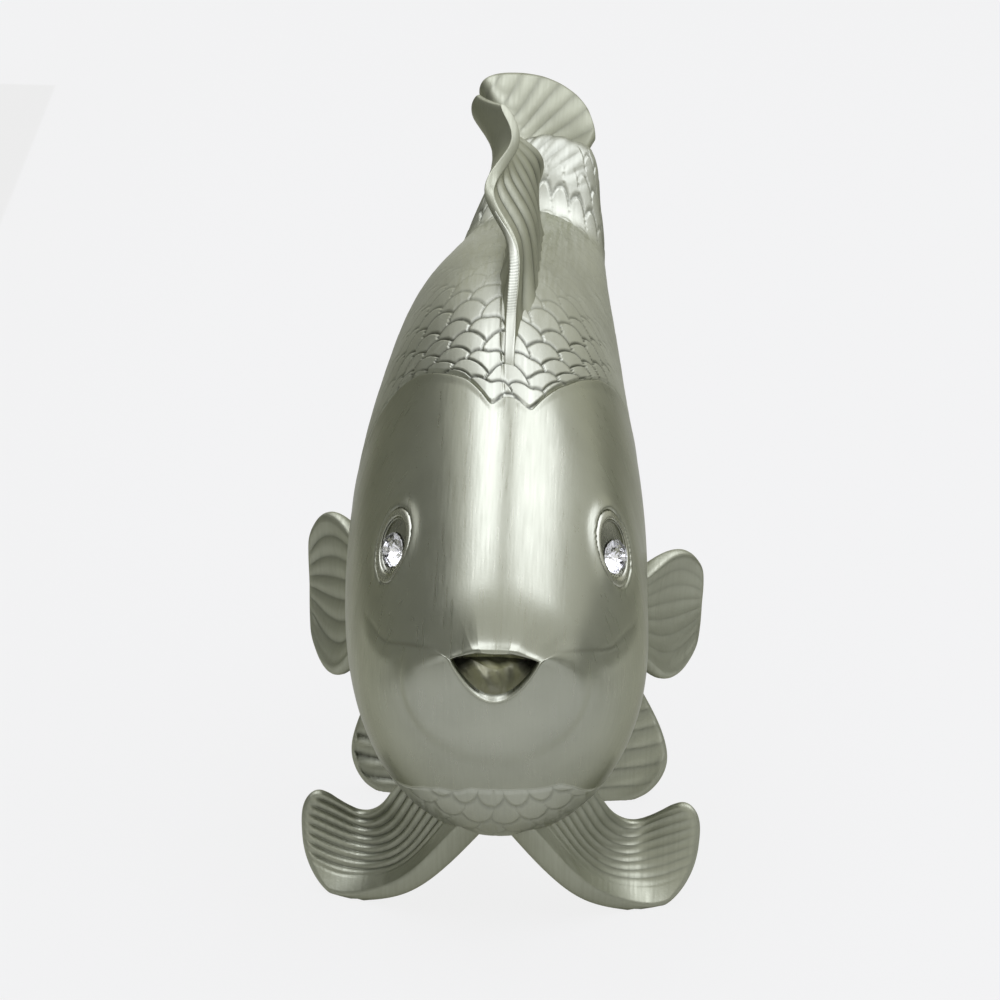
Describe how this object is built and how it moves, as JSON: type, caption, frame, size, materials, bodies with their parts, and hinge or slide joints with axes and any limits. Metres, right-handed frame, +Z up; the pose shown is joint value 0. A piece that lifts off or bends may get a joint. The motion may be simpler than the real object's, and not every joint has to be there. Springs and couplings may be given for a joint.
{
  "type": "fish figurine",
  "caption": "Upright hollow-cast fish ornament with smooth head, scaled body, curled fins it stands on and cut-stone eyes.",
  "frame": {"origin": "centre of the box around the figurine, on the surface that it stands on", "axes": "+Z up, -Y the way the fish faces, +X its own left side"},
  "size_m": [0.0676, 0.1549, 0.1219],
  "materials": {
    "brushed_skin": "satin brushed silver colour",
    "scaled_skin": "satin silver colour with cast scales",
    "resin_filling": "cast resin filling",
    "mouth_lining": "rough as cast, silver colour",
    "eye_setting": "polished edge, silver colour",
    "cut_stone": "clear cut crystal",
    "cast_fins": "satin silver colour, fluted",
    "steel_dowel": "plain drawn steel"
  },
  "bodies": {
    "root": {"head_shell": "brushed_skin", "right_body_shell": "scaled_skin", "left_body_shell": "scaled_skin", "body_core": "resin_filling", "mouth_cup": "mouth_lining", "right_eye_setting": "eye_setting", "left_eye_setting": "eye_setting", "right_eye_stone": "cut_stone", "left_eye_stone": "cut_stone", "dorsal_fin": "cast_fins", "tail_stalk": "scaled_skin", "tail_fin": "cast_fins", "tail_dowel": "steel_dowel", "right_pectoral_fin": "cast_fins", "left_pectoral_fin": "cast_fins", "right_pelvic_fin": "cast_fins", "left_pelvic_fin": "cast_fins", "right_anal_fin": "cast_fins", "left_anal_fin": "cast_fins"}
  },
  "joints": []
}
